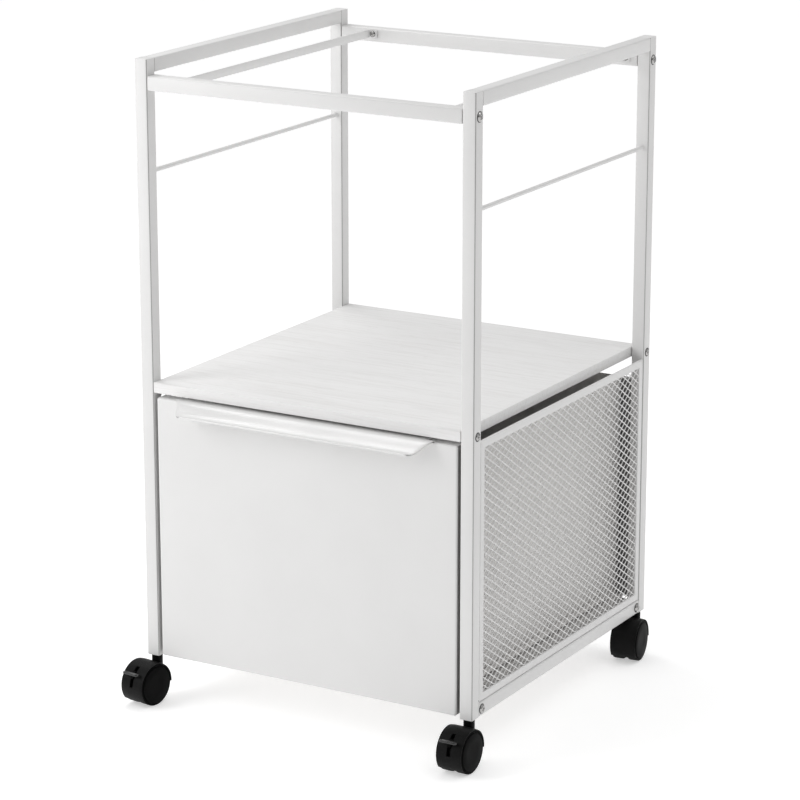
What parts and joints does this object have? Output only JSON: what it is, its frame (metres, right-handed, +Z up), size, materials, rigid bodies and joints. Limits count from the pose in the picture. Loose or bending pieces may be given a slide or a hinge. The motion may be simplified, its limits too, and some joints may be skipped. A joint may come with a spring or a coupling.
{
  "type": "rolling file cabinet",
  "caption": "Open tube-framed file cabinet on casters, with hanging-file rails, a shelf board and one deep drawer behind mesh side panels.",
  "frame": {"origin": "bottom centre of the bounding box, on the floor", "axes": "+Z up, the drawer opens towards -Y, +X is the right-hand side seen from the front"},
  "size_m": [0.4462, 0.4608, 0.734],
  "materials": {
    "white_coat": "satin powder coat",
    "shelf_board": "white wood-grain melamine",
    "zinc_steel": "zinc plated",
    "nylon": "satin",
    "black_plastic": "fine texture",
    "wheel_plastic": "satin"
  },
  "bodies": {
    "frame": {"front_crossbar": "white_coat", "front_left_caster_socket": "black_plastic", "front_right_caster_socket": "black_plastic", "left_bottom_rail": "white_coat", "left_cabinet_runner": "white_coat", "left_file_rail": "white_coat", "left_front_post": "white_coat", "left_guard_rod": "white_coat", "left_mesh_panel": "white_coat", "left_rear_post": "white_coat", "left_top_rail": "white_coat", "lower_front_crossbar": "white_coat", "lower_rear_crossbar": "white_coat", "rear_crossbar": "white_coat", "rear_left_caster_socket": "black_plastic", "rear_panel": "white_coat", "rear_right_caster_socket": "black_plastic", "right_bottom_rail": "white_coat", "right_cabinet_runner": "white_coat", "right_file_rail": "white_coat", "right_front_post": "white_coat", "right_guard_rod": "white_coat", "right_mesh_panel": "white_coat", "right_rear_post": "white_coat", "right_top_rail": "white_coat", "shelf_board": "shelf_board"},
    "drawer": {"drawer_front": "white_coat", "drawer_pull": "white_coat", "drawer_tray": "white_coat", "drawer_left_side": "white_coat", "drawer_right_side": "white_coat", "left_drawer_runner": "white_coat", "right_drawer_runner": "white_coat"},
    "left_front_roller": {"left_front_roller": "nylon"},
    "left_rear_roller": {"left_rear_roller": "nylon"},
    "right_front_roller": {"right_front_roller": "nylon"},
    "right_rear_roller": {"right_rear_roller": "nylon"},
    "front_left_caster": {"front_left_caster_housing": "black_plastic", "front_left_caster_stem": "zinc_steel", "front_left_caster_axle": "zinc_steel"},
    "front_left_wheel_left": {"front_left_wheel_left": "wheel_plastic"},
    "front_left_wheel_right": {"front_left_wheel_right": "wheel_plastic"},
    "front_left_brake_lever": {"front_left_brake_lever": "black_plastic"},
    "front_right_caster": {"front_right_caster_housing": "black_plastic", "front_right_caster_stem": "zinc_steel", "front_right_caster_axle": "zinc_steel"},
    "front_right_wheel_left": {"front_right_wheel_left": "wheel_plastic"},
    "front_right_wheel_right": {"front_right_wheel_right": "wheel_plastic"},
    "front_right_brake_lever": {"front_right_brake_lever": "black_plastic"},
    "rear_left_caster": {"rear_left_caster_housing": "black_plastic", "rear_left_caster_stem": "zinc_steel", "rear_left_caster_axle": "zinc_steel"},
    "rear_left_wheel_left": {"rear_left_wheel_left": "wheel_plastic"},
    "rear_left_wheel_right": {"rear_left_wheel_right": "wheel_plastic"},
    "rear_right_caster": {"rear_right_caster_housing": "black_plastic", "rear_right_caster_stem": "zinc_steel", "rear_right_caster_axle": "zinc_steel"},
    "rear_right_wheel_left": {"rear_right_wheel_left": "wheel_plastic"},
    "rear_right_wheel_right": {"rear_right_wheel_right": "wheel_plastic"}
  },
  "joints": [
    {"name": "drawer_slide", "type": "slide", "parent": "frame", "child": "drawer", "axis": [0, -1, 0], "range_m": [0, 0.28]},
    {"name": "left_front_roller_spin", "type": "hinge", "parent": "frame", "child": "left_front_roller", "pos_m": [-0.18788, -0.15172, 0.0744], "axis": [1, 0, 0], "continuous": true},
    {"name": "left_rear_roller_spin", "type": "hinge", "parent": "drawer", "child": "left_rear_roller", "pos_m": [-0.18788, 0.16268, 0.0666], "axis": [1, 0, 0], "continuous": true},
    {"name": "right_front_roller_spin", "type": "hinge", "parent": "frame", "child": "right_front_roller", "pos_m": [0.18862, -0.15172, 0.0744], "axis": [1, 0, 0], "continuous": true},
    {"name": "right_rear_roller_spin", "type": "hinge", "parent": "drawer", "child": "right_rear_roller", "pos_m": [0.18862, 0.16268, 0.0666], "axis": [1, 0, 0], "continuous": true},
    {"name": "front_left_swivel", "type": "hinge", "parent": "frame", "child": "front_left_caster", "pos_m": [-0.20163, -0.18202, 0.054], "axis": [0, 0, 1], "continuous": true},
    {"name": "front_left_wheel_left_spin", "type": "hinge", "parent": "front_left_caster", "child": "front_left_wheel_left", "pos_m": [-0.20428, -0.20083, 0.024], "axis": [0.9903, -0.1392, 0], "continuous": true},
    {"name": "front_left_wheel_right_spin", "type": "hinge", "parent": "front_left_caster", "child": "front_left_wheel_right", "pos_m": [-0.20428, -0.20083, 0.024], "axis": [0.9903, -0.1392, 0], "continuous": true},
    {"name": "front_left_brake", "type": "hinge", "parent": "front_left_caster", "child": "front_left_brake_lever", "pos_m": [-0.20698, -0.22006, 0.03759], "axis": [0.9903, -0.1392, 0], "range_deg": [0, 12]},
    {"name": "front_right_swivel", "type": "hinge", "parent": "frame", "child": "front_right_caster", "pos_m": [0.20237, -0.18202, 0.054], "axis": [0, 0, 1], "continuous": true},
    {"name": "front_right_wheel_left_spin", "type": "hinge", "parent": "front_right_caster", "child": "front_right_wheel_left", "pos_m": [0.20204, -0.20101, 0.024], "axis": [0.9998, -0.0175, 0], "continuous": true},
    {"name": "front_right_wheel_right_spin", "type": "hinge", "parent": "front_right_caster", "child": "front_right_wheel_right", "pos_m": [0.20204, -0.20101, 0.024], "axis": [0.9998, -0.0175, 0], "continuous": true},
    {"name": "front_right_brake", "type": "hinge", "parent": "front_right_caster", "child": "front_right_brake_lever", "pos_m": [0.2017, -0.22042, 0.03759], "axis": [0.9998, -0.0175, 0], "range_deg": [0, 12]},
    {"name": "rear_left_swivel", "type": "hinge", "parent": "frame", "child": "rear_left_caster", "pos_m": [-0.20163, 0.22198, 0.054], "axis": [0, 0, 1], "continuous": true},
    {"name": "rear_left_wheel_left_spin", "type": "hinge", "parent": "rear_left_caster", "child": "rear_left_wheel_left", "pos_m": [-0.20031, 0.20303, 0.024], "axis": [0.9976, 0.0698, 0], "continuous": true},
    {"name": "rear_left_wheel_right_spin", "type": "hinge", "parent": "rear_left_caster", "child": "rear_left_wheel_right", "pos_m": [-0.20031, 0.20303, 0.024], "axis": [0.9976, 0.0698, 0], "continuous": true},
    {"name": "rear_right_swivel", "type": "hinge", "parent": "frame", "child": "rear_right_caster", "pos_m": [0.20237, 0.22198, 0.054], "axis": [0, 0, 1], "continuous": true},
    {"name": "rear_right_wheel_left_spin", "type": "hinge", "parent": "rear_right_caster", "child": "rear_right_wheel_left", "pos_m": [0.20469, 0.20313, 0.024], "axis": [0.9925, 0.1219, 0], "continuous": true},
    {"name": "rear_right_wheel_right_spin", "type": "hinge", "parent": "rear_right_caster", "child": "rear_right_wheel_right", "pos_m": [0.20469, 0.20313, 0.024], "axis": [0.9925, 0.1219, 0], "continuous": true}
  ],
  "couplings": [
    {"joint": "left_front_roller_spin", "follows": "drawer_slide", "rad_per_m": 120.48},
    {"joint": "left_rear_roller_spin", "follows": "drawer_slide", "rad_per_m": 107.53},
    {"joint": "right_front_roller_spin", "follows": "drawer_slide", "rad_per_m": 120.48},
    {"joint": "right_rear_roller_spin", "follows": "drawer_slide", "rad_per_m": 107.53}
  ]
}
